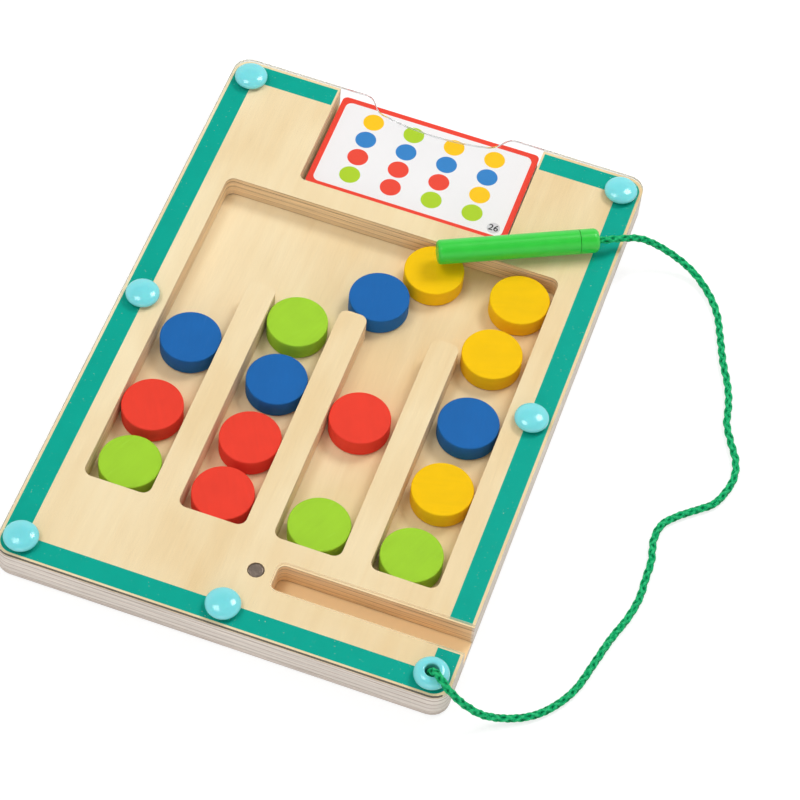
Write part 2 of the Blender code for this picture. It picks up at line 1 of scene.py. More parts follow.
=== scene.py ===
"""Looks of a magnetic colour-sorting board, built around its packed frame.

In the frame of the board +X is right, +Y is towards the card slot and +Z is up. Pieces are in metres.
Inside a material, in the default of a length and in names that end in MM, sizes are in mm.
"""

import math

import bmesh
import bpy
from bpy.props import FloatProperty, FloatVectorProperty, IntProperty, PointerProperty, StringProperty
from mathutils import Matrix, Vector
from mathutils.kdtree import KDTree


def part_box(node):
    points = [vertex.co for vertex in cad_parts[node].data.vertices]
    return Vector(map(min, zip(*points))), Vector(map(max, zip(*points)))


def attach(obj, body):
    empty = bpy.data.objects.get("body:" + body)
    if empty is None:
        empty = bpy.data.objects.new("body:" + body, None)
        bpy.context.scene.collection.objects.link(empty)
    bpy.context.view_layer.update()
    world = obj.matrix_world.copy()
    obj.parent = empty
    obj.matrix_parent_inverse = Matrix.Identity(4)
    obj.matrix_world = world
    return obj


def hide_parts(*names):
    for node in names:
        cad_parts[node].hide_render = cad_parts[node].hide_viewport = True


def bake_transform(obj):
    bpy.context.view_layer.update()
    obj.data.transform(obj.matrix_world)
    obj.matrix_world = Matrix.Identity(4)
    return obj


bl_info = {
    "name": "Colour-Sorting Board",
    "version": (1, 0, 0),
    "blender": (4, 5, 0),
    "location": "View3D > Sidebar > Sorting Board",
    "description": "Models and finishes a magnetic colour-sorting board around its frame",
    "category": "Add Mesh",
}

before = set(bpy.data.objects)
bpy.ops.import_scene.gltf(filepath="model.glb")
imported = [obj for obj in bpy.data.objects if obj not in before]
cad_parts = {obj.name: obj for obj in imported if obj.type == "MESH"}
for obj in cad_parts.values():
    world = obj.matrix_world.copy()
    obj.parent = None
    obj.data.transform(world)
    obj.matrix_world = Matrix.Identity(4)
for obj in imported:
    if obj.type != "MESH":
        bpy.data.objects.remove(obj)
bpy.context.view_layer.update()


def nodes_called(start_of_name):
    return [name for name in sorted(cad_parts) if name.startswith(start_of_name)]


MM = 0.001
CAP_NODES = nodes_called("cap_")
SCREW_NODES = nodes_called("screw_")
PUCK_NODES = nodes_called("puck_")
SLUG_NODES = nodes_called("slug_")

# The cut-outs of the frame and the corners of the board, which the print and the edges follow.
BOARD_CORNER_MM = 8.0
TRAY_MIDDLE_Y_MM = -117.95
TRAY_HALF_MM = 6.8
TRAY_START_X_MM = 10
TRAY_CORNER_MM = 3.0
SLOT_MIDDLE_X_MM = 0.3
SLOT_HALF_MM = 51.4

# Glue lines between the veneers: mm below the frame's top or above the underside, and their strength.
FRAME_GLUE = ((0.3, 0.7), (2.4, 1.0), (5.8, 0.7), (8.8, 0.6))
BASE_GLUE = ((1.7, 0.6), (0.8, 0.6))
SEAM_GLUE_STRENGTH = 0.9

# Turn of the grain under each colour of paint, in radians.
GRAIN_TURNS = {"green": 0.4, "red": 2.6, "blue": 2.9, "yellow": 1.3}

# Rows of dots on the card from the front one, and the place of its number from its middle.
CARD_ROWS = ("GRGG", "RRRY", "BBBB", "YGYY")
DISC_FROM_MIDDLE_MM = (42.3, -21.4)

# The usual range of a noise.
NOISE_RANGE = (0.3, 0.7)

# How far print reaches down over an edge, how high the tray's painted shade reaches, and the height over
# which either ends.
BAND_REACH_MM = 0.4
CARD_REACH_MM = 0.2
TRAY_SHADE_REACH_MM = 0.1
LEVEL_FADE_MM = 0.1

# Limits of the cover's edges: from the front, round the tray, and from the board's right edge.
FRONT_DEPTH_MM = 2.5
LIP_REACH_MM = 1.5
LIP_END_MM = 0.6

# The cord's route, from the foot of the grommet over the corner and along the ground to the pen.
ROUTE_SPACING = 0.9 * MM
CORD_ROUTE_MM = (
    (92.3, -139.4, 10.0),
    (92.3, -139.3, 12.8),
    (92.5, -139.5, 16.4),
    (93.5, -140.3, 19.7),
    (95.6, -142.0, 22.1),
    (98.6, -144.4, 23.0),
    (101.9, -146.6, 21.6),
    (106.5, -147.5, 17.8),
    (111.3, -147.2, 13.1),
    (119.3, -145.3, 6.8),
    (129.6, -140.6, 2.9),
    (138.9, -134.7, 1.9),
    (146.3, -126.3, 1.8),
    (151.7, -115.7, 1.8),
    (155.1, -101.9, 1.8),
    (158.3, -87.9, 1.8),
    (162.3, -74.7, 1.8),
    (164.2, -63.4, 1.8),
    (164.0, -53.4, 1.8),
    (163.7, -42.8, 1.8),
    (161.7, -32.4, 1.8),
    (162.7, -23.4, 1.8),
    (167.9, -16.5, 1.8),
    (174.8, -10.3, 1.8),
    (181.5, -4.0, 1.8),
    (185.1, 4.8, 1.8),
    (186.3, 13.6, 1.8),
    (184.4, 22.2, 1.8),
    (179.9, 30.6, 1.8),
    (175.5, 39.7, 1.8),
    (173.4, 50.1, 1.8),
    (170.1, 60.4, 1.8),
    (164.4, 72.8, 1.8),
    (159.7, 85.1, 1.8),
    (154.4, 98.1, 1.8),
    (146.6, 108.8, 2.2),
    (135.7, 116.3, 4.9),
    (122.7, 118.1, 10.6),
    (110.8, 114.4, 18.1),
    (101.8, 107.8, 22.0),
    (96.6, 104.55, 22.65),
    (92.86, 102.63, 22.65),
)


def screen(red, green, blue):
    """A colour as shown on screen, 0 to 255, as linear light."""
    shares = [level / 255 for level in (red, green, blue)]
    return [s / 12.92 if s <= 0.04045 else ((s + 0.055) / 1.055) ** 2.4 for s in shares]


def scaled(tint, share):
    return [level * share for level in tint]


def length(name, description, size):
    """A length whose default is given in mm."""
    return FloatProperty(name=name, description=description, default=size * MM, unit="LENGTH", precision=5)


def fraction(name, description, default):
    return FloatProperty(name=name, description=description, default=default, min=0, max=1, subtype="FACTOR")


def power(name, description, default):
    return FloatProperty(name=name, description=description, default=default, unit="POWER")


def place(name, description, x, y, z):
    return FloatVectorProperty(
        name=name, description=description, default=(x, y, z), subtype="TRANSLATION", unit="LENGTH"
    )


def colour(name, description, red, green, blue):
    """A colour whose default is given as shown on screen."""
    return FloatVectorProperty(
        name=name, description=description, default=screen(red, green, blue), subtype="COLOR", min=0, max=1
    )


class SortingBoardSheets(bpy.types.PropertyGroup):
    """Plywood sheets, their printed band and the clear cover."""

    edge_ease: length("Edge Ease", "Rounding of the plywood's edges", 0.35)
    cover_ease: length("Cover Ease", "Rounding of the clear cover's edges", 0.25)
    band_width: length("Band Width", "Width of the printed band", 10.1)
    band_corner: length("Band Corner", "Outer corners of the band", 7)
    band_inner_corner: length("Band Inner Corner", "Inner corners of the band", 0.4)
    band_side_margin: length("Band Side Margin", "Bare wood outside the band at the sides", 1.4)
    band_end_margin: length("Band End Margin", "Bare wood outside the band at the ends", 1.73)
    band_gap: length("Band Gap", "Bare wood between the band and the tray or slot", 1.0)
    gap_corner: length("Gap Corner", "Corners of the bare wood at the tray or slot", 0.2)
    band_shift_x: length("Band Shift X", "Print's middle from the board's", -0.2)
    band_shift_y: length("Band Shift Y", "Print's middle from the board's", 0.27)
    wood_light: colour("Light Wood", "Pale streaks of the face veneer", 249, 230, 190)
    wood_dark: colour("Dark Wood", "Darker streaks of the face veneer", 236, 206, 156)
    # Painted shade: a warmer tone for the shade and warm bounce light on the floor of the pen tray.
    tray_floor_shade: colour("Tray Floor", "Handled wood in the pen tray", 252, 218, 166)
    # Partly the wood's own tone and partly painted reflection of the white surroundings: the outer edge is
    # paler.
    outer_edge_and_reflection: colour("Outer Edge", "Veneers on the board's outer edge", 244, 233, 222)
    inner_edge: colour("Inner Edge", "Veneers on the walls of the cut-outs", 252, 219, 174)
    glue_line: colour("Glue Line", "Lines between the veneers", 112, 74, 48)
    acrylic: FloatVectorProperty(
        name="Acrylic", description="Clear cover", default=(0.985, 0.995, 0.995), subtype="COLOR"
    )
    cut_edge: colour("Cut Edge", "Cut edges of the clear cover", 205, 208, 208)
    # Painted shade: a dark tone for the shade and dark reflection seen in the cover's front edge.
    front_edge_shade: colour("Front Edge Shade", "Front edge of the clear cover", 78, 72, 66)
    tray_lip: colour("Tray Lip", "Cover edge round the tray, with the wood's colour", 250, 234, 206)
    band: colour("Band", "Ink of the printed band", 0, 168, 148)


class SortingBoardFittings(bpy.types.PropertyGroup):
    """Caps, grommet, screws and magnets."""

    cap_lip: length("Cap Lip", "Straight rim under a cap's dome", 0.7)
    cap_ease: length("Cap Ease", "Rounding of a cap's lower rim", 0.25)
    cap_crown: length("Cap Crown", "Plastic above a screw's head", 1.2)
    screw_head: length("Screw Head", "Radius of the hollow for a screw's head", 4.8)
    grommet_bore: length("Grommet Bore", "Radius of the grommet's hole", 3.1)
    grommet_shank: length("Grommet Shank", "Radius of the grommet's shank", 4.4)
    grommet_flare: length("Grommet Flare", "Rounding of the hole's mouth", 0.8)
    magnet_ease: length("Magnet Ease", "Rounding of the tray magnet's rim", 0.5)
    plastic: colour("Cap Plastic", "Caps and grommet", 124, 224, 230)
    steel: colour("Steel", "Screws and slugs", 168, 165, 160)
    nickel: colour("Nickel", "Magnets", 140, 125, 114)


class SortingBoardPucks(bpy.types.PropertyGroup):
    """Painted wooden pucks."""

    edge_ease: length("Edge Ease", "Rounding of a puck's edges", 0.6)
    pocket_radius: length("Pocket Radius", "Radius of the pocket for the steel slug", 5.3)
    pocket_depth: length("Pocket Depth", "Depth of the pocket for the steel slug", 5.3)
    green: colour("Green", "Green paint", 164, 214, 52)
    red: colour("Red", "Red paint", 242, 66, 48)
    blue: colour("Blue", "Blue paint", 28, 103, 176)
    yellow: colour("Yellow", "Yellow paint", 252, 200, 0)


class SortingBoardCards(bpy.types.PropertyGroup):
    """Pattern cards and their print."""

    border: length("Border", "Width of the printed border", 2.75)
    border_radius: length("Border Radius", "Inner corners of the border", 3.2)
    dot_radius: length("Dot Radius", "Radius of a printed dot", 5.0)
    column_pitch: length("Column Pitch", "From one column of dots to the next", 20.4)
    row_pitch: length("Row Pitch", "From one row of dots to the next", 11.45)
    dots_shift_x: length("Dots Shift X", "Dots' middle from the card's", -0.5)
    dots_shift_y: length("Dots Shift Y", "Dots' middle from the card's", 0.7)
    card_sheet: length("Card Sheet", "Thickness of one card in the stack", 0.5)
    disc_radius: length("Disc Radius", "Radius of the disc behind the number", 3.2)
    number: StringProperty(name="Number", description="Number of the card", default="26")
    number_height: length("Number Height", "Height of the card's number", 4.9)
    number_stroke: length("Number Stroke", "How much the number's strokes are widened", 0.1)
    ink_depth: length("Ink Depth", "Half the depth of the number's ink", 0.01)
    ink_lift: length("Ink Lift", "Middle of the number's ink above the card", 0.02)
    white: colour("White", "Card stock", 243, 240, 240)
    frame_red: colour("Border Red", "Ink of the border", 238, 70, 52)
    dot_yellow: colour("Dot Yellow", "Yellow dots", 253, 199, 24)
    dot_blue: colour("Dot Blue", "Blue dots", 54, 131, 199)
    dot_red: colour("Dot Red", "Red dots", 238, 74, 56)
    dot_green: colour("Dot Green", "Green dots", 176, 210, 44)
    disc_grey: colour("Disc Grey", "Disc behind the number", 214, 212, 214)
    number_ink: colour("Number Ink", "Number", 42, 40, 42)


class SortingBoardPen(bpy.types.PropertyGroup):
    """Pen and cord."""

    radius: length("Radius", "Pen radius", 5.75)
    total: length("Length", "Pen length", 76)
    tip_ease: length("Tip Ease", "Rounding of the pen's tip", 1.8)
    wall: length("Wall", "Wall of the barrel", 1.5)
    seam: length("Seam", "Gap between the barrel and the tail plug", 0.3)
    plug_head: length("Plug Head", "Length of the tail plug outside the barrel", 9)
    plug_spigot: length("Plug Spigot", "Length of the tail plug inside the barrel", 7)
    plug_ease: length("Plug Ease", "Rounding of the tail plug's end", 2.5)
    plug_hole: length("Plug Hole", "Radius of the cord's hole in the plug", 2.15)
    cord_gap: length("Cord Gap", "From the pen's tail to the end of the cord's route", 0.3)
    heading: FloatProperty(
        name="Heading", description="Turn of the pen from +X", default=math.radians(27.2), subtype="ANGLE"
    )
    cord_diameter: length("Cord Diameter", "Outside of the braid", 3.5)
    cord_length: length("Cord Length", "Cord from the grommet to the pen", 400)
    strand_pairs: IntProperty(
        name="Strand Pairs", description="Strands that run each way", default=3, subtype="UNSIGNED"
    )
    strand_share: fraction("Strand Share", "A strand's radius as a share of the cord's diameter", 0.25)
    braid_pitch: length("Braid Pitch", "Length of one turn of a strand", 17)
    weave_middle: fraction("Weave Middle", "Where strands run, as a share of their outermost place", 0.92)
    weave_depth: fraction("Weave Depth", "How far strands rise and dip, as a share of the same", 0.22)
    plastic: colour("Pen Plastic", "Pen", 46, 208, 60)
    yarn: colour("Yarn", "Cord", 0, 158, 95)


class SortingBoardStage(bpy.types.PropertyGroup):
    """Camera, lights and floor."""

    camera_place: place("Camera Place", "Where the camera stands", 0.21539, -0.75100, 1.11305)
    camera_turn: FloatVectorProperty(
        name="Camera Turn",
        description="How the camera is turned",
        default=[math.radians(angle) for angle in (34.560, -3.704, 19.079)],
        subtype="EULER",
    )
    lens: FloatProperty(name="Lens", description="Focal length", default=134.343, unit="CAMERA")
    key_place: place("Key Place", "Main light, at the back right", 0.47, 0.79, 1.28)
    key_size: length("Key Size", "Side of the main light", 480)
    key_power: power("Key Power", "Main light", 8.8)
    side_place: place("Side Place", "High light, at the left", -0.72, -0.25, 2.05)
    side_size: length("Side Size", "Side of the high light", 750)
    side_power: power("Side Power", "High light", 11.8)
    fill_place: place("Fill Place", "Low weak light, at the front", 0.25, -1.3, 0.3)
    fill_size: length("Fill Size", "Side of the weak light", 800)
    fill_power: power("Fill Power", "Weak light", 3.0)
    ambient: fraction("Ambient", "Even light from all round", 0.52)
    ceiling: fraction("Ceiling", "Tone of the ceiling in reflections", 0.1)
    floor_size: length("Floor Size", "Side of the floor", 8000)
    floor_drop: length("Floor Drop", "Floor below the board's underside", 0.1)
    floor_glow: fraction("Floor Glow", "Share of the floor's white that no shadow takes", 0.72)
    floor_tone: fraction("Floor Tone", "Share of the floor's white that shadows take", 0.36)
    floor_bounce: fraction("Floor Bounce", "Tone of the floor in the light that it throws back", 0.8)


class Nodes:
    """The nodes of a world or a material, with short calls for those that are used here."""

    def __init__(self, owner, output):
        owner.use_nodes = True
        self.nodes = owner.node_tree.nodes
        self.links = owner.node_tree.links
        self.output = self.nodes[output]

    def add(self, kind, **settings):
        node = self.nodes.new(kind)
        for name, value in settings.items():
            setattr(node, name, value)
        return node

    def put(self, socket, value):
        """Joins a socket to another, or sets its value."""
        if isinstance(value, bpy.types.NodeSocket):
            self.links.new(value, socket)
        elif socket.type == "RGBA":
            socket.default_value = (*value, 1)
        else:
            socket.default_value = value

    def math(self, operation, first, second=0.0, clamp=False):
        node = self.add("ShaderNodeMath", operation=operation, use_clamp=clamp)
        self.put(node.inputs[0], first)
        self.put(node.inputs[1], second)
        return node.outputs[0]

    def span(self, value, low, high, to_low=0.0, to_high=1.0):
        """The value between low and high, as a share from to_low to to_high."""
        node = self.add("ShaderNodeMapRange", clamp=True)
        self.put(node.inputs["Value"], value)
        for name, number in (("From Min", low), ("From Max", high), ("To Min", to_low), ("To Max", to_high)):
            self.put(node.inputs[name], number)
        return node.outputs["Result"]

    def sees_background(self):
        """1 for rays that see the white of the background."""
        path = self.add("ShaderNodeLightPath")
        seen = self.math("MAXIMUM", path.outputs["Is Camera Ray"], path.outputs["Is Glossy Ray"])
        return self.math("MAXIMUM", seen, path.outputs["Is Transmission Ray"])

    def end_in_mix(self, share, first, second):
        """Makes a mix of two shader nodes the result."""
        mix = self.add("ShaderNodeMixShader")
        for socket, value in zip(mix.inputs, (share, first.outputs[0], second.outputs[0])):
            self.put(socket, value)
        self.put(self.output.inputs["Surface"], mix.outputs[0])


class Shader(Nodes):
    """A material under construction."""

    def __init__(self, name):
        self.material = bpy.data.materials.new(name)
        super().__init__(self.material, "Material Output")
        self.surface = self.nodes["Principled BSDF"]
        self._place = None

    def set(self, **inputs):
        """Sets or joins inputs of the surface shader, with _ for a space in their names."""
        for name, value in inputs.items():
            self.put(self.surface.inputs[name.replace("_", " ")], value)

    def place(self):
        """The point's own x, y and z in mm."""
        if self._place is None:
            scale = self.add("ShaderNodeVectorMath", operation="SCALE")
            self.put(scale.inputs[0], self.add("ShaderNodeTexCoord").outputs["Object"])
            self.put(scale.inputs["Scale"], 1 / MM)
            split = self.add("ShaderNodeSeparateXYZ")
            self.put(split.inputs[0], scale.outputs[0])
            self._place = tuple(split.outputs)
        return self._place

    def vector(self, x, y, z):
        node = self.add("ShaderNodeCombineXYZ")
        for socket, value in zip(node.inputs, (x, y, z)):
            self.put(socket, value)
        return node.outputs[0]

    def noise(self, sizes, detail=3.0, roughness=0.5, distortion=0.0, turn=0.0):
        """A noise with pattern sizes in mm along x, y and z, after a turn round z."""
        mapping = self.add("ShaderNodeMapping", vector_type="POINT")
        self.put(mapping.inputs["Vector"], self.vector(*self.place()))
        self.put(mapping.inputs["Rotation"], (0, 0, turn))
        scale = self.add("ShaderNodeVectorMath", operation="DIVIDE")
        self.put(scale.inputs[0], mapping.outputs[0])
        self.put(scale.inputs[1], sizes)
        node = self.add("ShaderNodeTexNoise")
        settings = {"Scale": 1.0, "Detail": detail, "Roughness": roughness, "Distortion": distortion}
        for name, value in (("Vector", scale.outputs[0]), *settings.items()):
            self.put(node.inputs[name], value)
        return node.outputs["Fac"]

    def tone(self, noise, low, high):
        """A share from low to high over the usual range of a noise."""
        return self.span(noise, *NOISE_RANGE, low, high)

    def weigh(self, first, first_share, second, second_share):
        """The sum of two values, each times its share."""
        parts = [self.math("MULTIPLY", *part) for part in ((first, first_share), (second, second_share))]
        return self.math("ADD", *parts)

    def root_of_squares(self, values):
        """How far a point is from an origin, from its distances along x and y."""
        return self.math("SQRT", self.math("ADD", *[self.math("MULTIPLY", value, value) for value in values]))

    def mix(self, share, first, second, blend="MIX"):
        """Two colours mixed by a share, or blended in another way."""
        node = self.add("ShaderNodeMix", data_type="RGBA", blend_type=blend, clamp_factor=True)
        self.put(node.inputs["Factor"], share)
        self.put(node.inputs[6], first)
        self.put(node.inputs[7], second)
        return node.outputs[2]

    def vary(self, noise, tint, share):
        """The tint, and the tint times the share where the noise is low."""
        return self.mix(self.tone(noise, 0.0, 1.0), scaled(tint, share), tint)

    def darken(self, shade, share):
        """The colour times the share."""
        return self.mix(1.0, shade, self.vector(share, share, share), "MULTIPLY")

    def ramp(self, value, stops, interpolation="LINEAR"):
        """A colour from stops of (place, colour)."""
        node = self.add("ShaderNodeValToRGB")
        node.color_ramp.interpolation = interpolation
        elements = node.color_ramp.elements
        while len(elements) < len(stops):
            elements.new(1.0)
        for element, (position, tint) in zip(elements, stops):
            element.position = position
            element.color = (*tint, 1)
        self.put(node.inputs["Fac"], value)
        return node.outputs["Color"]

    def rounded_box(self, middle, half, radius):
        """Distance in mm outside a box with round corners on the x-y plane, and less than 0 inside it."""
        x, y, _ = self.place()
        reach = []
        for value, centre, size in ((x, middle[0], half[0]), (y, middle[1], half[1])):
            off = self.math("ABSOLUTE", self.math("SUBTRACT", value, centre))
            reach.append(self.math("SUBTRACT", off, size - radius))
        corner = self.root_of_squares([self.math("MAXIMUM", value, 0.0) for value in reach])
        inside = self.math("MINIMUM", self.math("MAXIMUM", *reach), 0.0)
        return self.math("SUBTRACT", self.math("ADD", corner, inside), radius)

    def within(self, distance, blur=0.06):
        """1 inside an outline and 0 outside it, from its distance in mm."""
        return self.span(distance, -blur, blur, 1.0, 0.0)

    def above(self, level):
        """1 above a level in mm and 0 below it."""
        return self.span(self.place()[2], level, level + LEVEL_FADE_MM)

    def bump(self, height, depth):
        """Bumps of the depth given in metres, on the surface shader."""
        node = self.add("ShaderNodeBump")
        for name, value in (("Strength", 1.0), ("Distance", depth), ("Height", height)):
            self.put(node.inputs[name], value)
        self.set(Normal=node.outputs["Normal"])


def start():
    """Object mode with nothing selected."""
    if bpy.context.object and bpy.context.object.mode != "OBJECT":
        bpy.ops.object.mode_set(mode="OBJECT")
    bpy.ops.object.select_all(action="DESELECT")


def pick(piece):
    """Makes the piece the only one selected, and the active one."""
    start()
    piece.select_set(True)
    bpy.context.view_layer.objects.active = piece


def apply_modifier(piece, kind, **settings):
    modifier = piece.modifiers.new(kind.title(), kind)
    for name, value in settings.items():
        setattr(modifier, name, value)
    pick(piece)
    bpy.ops.object.modifier_apply(modifier=modifier.name)


def settle(piece, body, slot, *nodes):
    """Puts the piece's place in its mesh, shades it and hands it to its body."""
    pick(piece)
    bpy.ops.object.transform_apply(location=True, rotation=True, scale=True)
    bpy.ops.object.shade_smooth_by_angle(angle=math.radians(50))
    apply_modifier(piece, "WEIGHTED_NORMAL", keep_sharp=True, weight=100)
    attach(piece, body)
    if nodes:
        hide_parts(*nodes)


def stand(piece, body, slot, node):
    """Settles a piece that was turned at the origin where its CAD node stands."""
    piece.location = (*middle_of(node).xy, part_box(node)[0].z)
    settle(piece, body, slot, node)


def copy_node(node, name, ease):
    """A copy of a CAD node with its faces merged and its edges eased."""
    piece = bpy.data.objects.new(name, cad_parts[node].data.copy())
    bpy.context.scene.collection.objects.link(piece)
    piece.data.materials.clear()
    pick(piece)
    bpy.ops.object.mode_set(mode="EDIT")
    bpy.ops.mesh.select_all(action="SELECT")
    bpy.ops.mesh.remove_doubles(threshold=0.01 * MM)
    bpy.ops.mesh.dissolve_limited(angle_limit=math.radians(0.5))
    bpy.ops.object.mode_set(mode="OBJECT")
    apply_modifier(piece, "BEVEL", width=ease, segments=2, limit_method="ANGLE", angle_limit=math.radians(40))
    return piece


def turned(name, profile, steps=64):
    """A piece turned round Z: a point is extruded along the (radius, height) profile, which is then spun."""
    start()
    bpy.ops.mesh.primitive_plane_add(size=1 * MM, location=(0, 0, 0))
    piece = bpy.context.object
    piece.name = name
    bpy.ops.object.mode_set(mode="EDIT")
    bpy.ops.mesh.select_mode(type="VERT")
    bpy.ops.mesh.select_all(action="SELECT")
    bpy.ops.mesh.merge(type="CENTER")
    bpy.ops.transform.translate(value=(profile[0][0], 0, profile[0][1]))
    for (radius, height), (next_radius, next_height) in zip(profile, profile[1:]):
        step = (next_radius - radius, 0, next_height - height)
        bpy.ops.mesh.extrude_vertices_move(TRANSFORM_OT_translate={"value": step})
    bpy.ops.mesh.select_all(action="SELECT")
    bpy.ops.mesh.spin(steps=steps, angle=2 * math.pi, center=(0, 0, 0), axis=(0, 0, 1))
    bpy.ops.mesh.select_all(action="SELECT")
    bpy.ops.mesh.remove_doubles(threshold=0.002 * MM)
    bpy.ops.mesh.normals_make_consistent(inside=False)
    bpy.ops.object.mode_set(mode="OBJECT")
    return piece


def duplicate(piece, name):
    pick(piece)
    bpy.ops.object.duplicate(linked=False)
    copy = bpy.context.object
    copy.name = name
    return copy


def arc(middle, radii, first, last, steps):
    """Points (radius, height) of an arc or part of an ellipse, its angles in degrees from the radius axis."""
    points = []
    for step in range(steps + 1):
        angle = math.radians(first + (last - first) * step / steps)
        points.append((middle[0] + radii[0] * math.cos(angle), middle[1] + radii[1] * math.sin(angle)))
    return points


def middle_of(node):
    low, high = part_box(node)
    return (low + high) / 2


def half_of(node):
    """Half the node's size, in mm."""
    low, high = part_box(node)
    return (high - low) / 2 / MM


def radius_and_height(node):
    low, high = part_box(node)
    return (high.x - low.x) / 2, high.z - low.z


def top_of(node):
    """Height of the node's top, in mm."""
    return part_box(node)[1].z / MM


def finish_node(node, material):
    """Gives a CAD node that stays in view its finish."""
    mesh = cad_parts[node].data
    mesh.materials.clear()
    mesh.materials.append(material)


def is_wall(face):
    return abs(face.normal.z) < 0.95


def band_print(shader, look):
    """1 where the band is printed on the frame: a ring with openings for the tray and the card slot."""
    half = half_of("maze_frame")
    side = half.x - look.band_side_margin / MM
    end = half.y - look.band_end_margin / MM
    width = look.band_width / MM
    gap = look.band_gap / MM
    corner = look.gap_corner / MM
    middle = look.band_shift_x / MM, look.band_shift_y / MM
    outlines = (
        (middle, (side, end), look.band_corner / MM),
        (middle, (side - width, end - width), look.band_inner_corner / MM),
        ((half.x, TRAY_MIDDLE_Y_MM), (2 * width, TRAY_HALF_MM + gap), corner),
        ((SLOT_MIDDLE_X_MM, half.y), (SLOT_HALF_MM + gap, 2 * width), corner),
    )
    outer, inner, tray, slot = [shader.within(shader.rounded_box(*outline)) for outline in outlines]
    openings = shader.math("MAXIMUM", shader.math("MAXIMUM", tray, slot), inner)
    ring = shader.math("SUBTRACT", outer, openings, clamp=True)
    return shader.math("MULTIPLY", ring, shader.above(top_of("maze_frame") - BAND_REACH_MM))


def tray_painted_shade(shader):
    """1 on the handled floor of the tray."""
    end = half_of("maze_frame").x
    half = (end - TRAY_START_X_MM, TRAY_HALF_MM)
    tray = shader.rounded_box((end, TRAY_MIDDLE_Y_MM), half, TRAY_CORNER_MM)
    over_floor = shader.above(top_of("base_board") + TRAY_SHADE_REACH_MM)
    return shader.math("MULTIPLY", shader.within(tray, 1.0), shader.math("SUBTRACT", 1.0, over_floor))


def plywood_face(look):
    """Lacquered birch: soft mottling, fine grain along Y and short pores, with the printed band."""
    shader = Shader("birch_face")
    mottle = shader.noise((38, 70, 40), detail=2.0, distortion=0.6)
    streak = shader.noise((5, 90, 20), detail=4.0, roughness=0.6, distortion=0.3)
    fibre = shader.noise((0.5, 14, 2), detail=3.0, roughness=0.6)
    pores = shader.noise((0.28, 4.0, 1.5), detail=2.0)
    # Painted shade: the face's figure darkens towards the right.
    across = shader.span(shader.place()[0], -90, 90, 0.06, -0.14)
    figure = shader.math("ADD", shader.weigh(mottle, 0.7, streak, 0.3), across)
    wood = shader.mix(shader.span(figure, 0.26, 0.7), look.wood_dark, look.wood_light)
    wood = shader.darken(wood, shader.tone(fibre, 0.965, 1.015))
    wood = shader.darken(wood, shader.span(pores, 0.66, 0.78, 1.0, 0.9))
    # Painted shade: the floor of the pen tray takes a warmer tone.
    wood = shader.mix(tray_painted_shade(shader), wood, look.tray_floor_shade)

    ink = shader.vary(shader.noise((6, 9, 6), detail=4.0, roughness=0.65), look.band, 0.93)
    pinholes = shader.noise((0.55, 0.55, 0.55), detail=1.0)
    ink = shader.mix(shader.span(pinholes, 0.77, 0.8, 0.0, 0.75), ink, look.wood_light)
    printed = band_print(shader, look)
    shader.set(Base_Color=shader.mix(printed, wood, ink), Specular_IOR_Level=0.06)
    gloss = shader.tone(streak, 0.58, 0.48)
    shader.set(Roughness=shader.math("SUBTRACT", gloss, shader.math("MULTIPLY", printed, 0.06)))
    shader.bump(shader.weigh(fibre, 0.5, pores, -0.5), 0.03 * MM)
    return shader.material


def plywood_edge(look):
    """Veneers seen on edge: two tones with dark glue lines, paler on the outer edge than in the cut-outs."""
    shader = Shader("birch_edge")
    z = shader.place()[2]
    wander = shader.span(shader.noise((24, 24, 3), detail=3.0), 0.0, 1.0, -0.28, 0.28)
    height = shader.math("ADD", z, wander)
    glue_lines = [(top_of("maze_frame") - depth, strength) for depth, strength in FRAME_GLUE]
    glue_lines += [(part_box("maze_frame")[0].z / MM, SEAM_GLUE_STRENGTH), *BASE_GLUE]
    lines = 0.0
    for level, strength in glue_lines:
        off = shader.math("ABSOLUTE", shader.math("SUBTRACT", height, level))
        lines = shader.math("MAXIMUM", lines, shader.span(off, 0.12, 0.38, strength, 0.0))
    broken = shader.span(shader.noise((22, 22, 1.2), detail=4.0, roughness=0.7), 0.36, 0.62, 0.3, 1.0)
    lines = shader.math("MULTIPLY", lines, broken)
    streaks = shader.noise((30, 30, 0.5), detail=3.0, roughness=0.6)
    layer = shader.noise((40, 40, 1.3), detail=1.0)
    fibre = shader.noise((1.1, 1.1, 0.22), detail=4.0, roughness=0.7)
    outside = shader.rounded_box((0, 0), half_of("base_board"), BOARD_CORNER_MM)
    outer = shader.span(outside, -1.4, -0.6)
    # Partly painted reflection: the outer edge is paler than the walls of the cut-outs.
    wood = shader.mix(outer, look.inner_edge, look.outer_edge_and_reflection)
    wood = shader.darken(wood, shader.tone(layer, 0.86, 1.06))
    wood = shader.darken(wood, shader.span(fibre, 0.25, 0.75, 0.86, 1.05))
    wood = shader.darken(wood, shader.span(streaks, 0.35, 0.65, 0.86, 1.04))
    # Painted shade: the edges darken towards the underside, where the board meets the floor.
    wood = shader.darken(wood, shader.span(z, 0.0, 0.7, 0.5, 1.0))
    # Partly painted reflection: glue lines are paler on the outer edge.
    glue = shader.mix(outer, look.glue_line, scaled(look.glue_line, 1.6))
    shader.set(Base_Color=shader.mix(shader.math("MULTIPLY", lines, 0.88), wood, glue))
    shader.set(Roughness=shader.tone(fibre, 0.62, 0.8))
    shader.bump(shader.math("SUBTRACT", fibre, lines), 0.06 * MM)
    return shader.material


def clear_acrylic(name, tint, roughness, clarity=1.0, bending=1.25):
    """Clear sheet that bends and mirrors what is seen, and lets the lamps through to what is under it."""
    shader = Shader(name)
    shader.set(Base_Color=tint, Transmission_Weight=clarity, Roughness=roughness, IOR=bending)
    path = shader.add("ShaderNodeLightPath")
    through = shader.math("MAXIMUM", path.outputs["Is Shadow Ray"], path.outputs["Is Diffuse Ray"])
    shader.end_in_mix(through, shader.surface, shader.add("ShaderNodeBsdfTransparent"))
    return shader.material


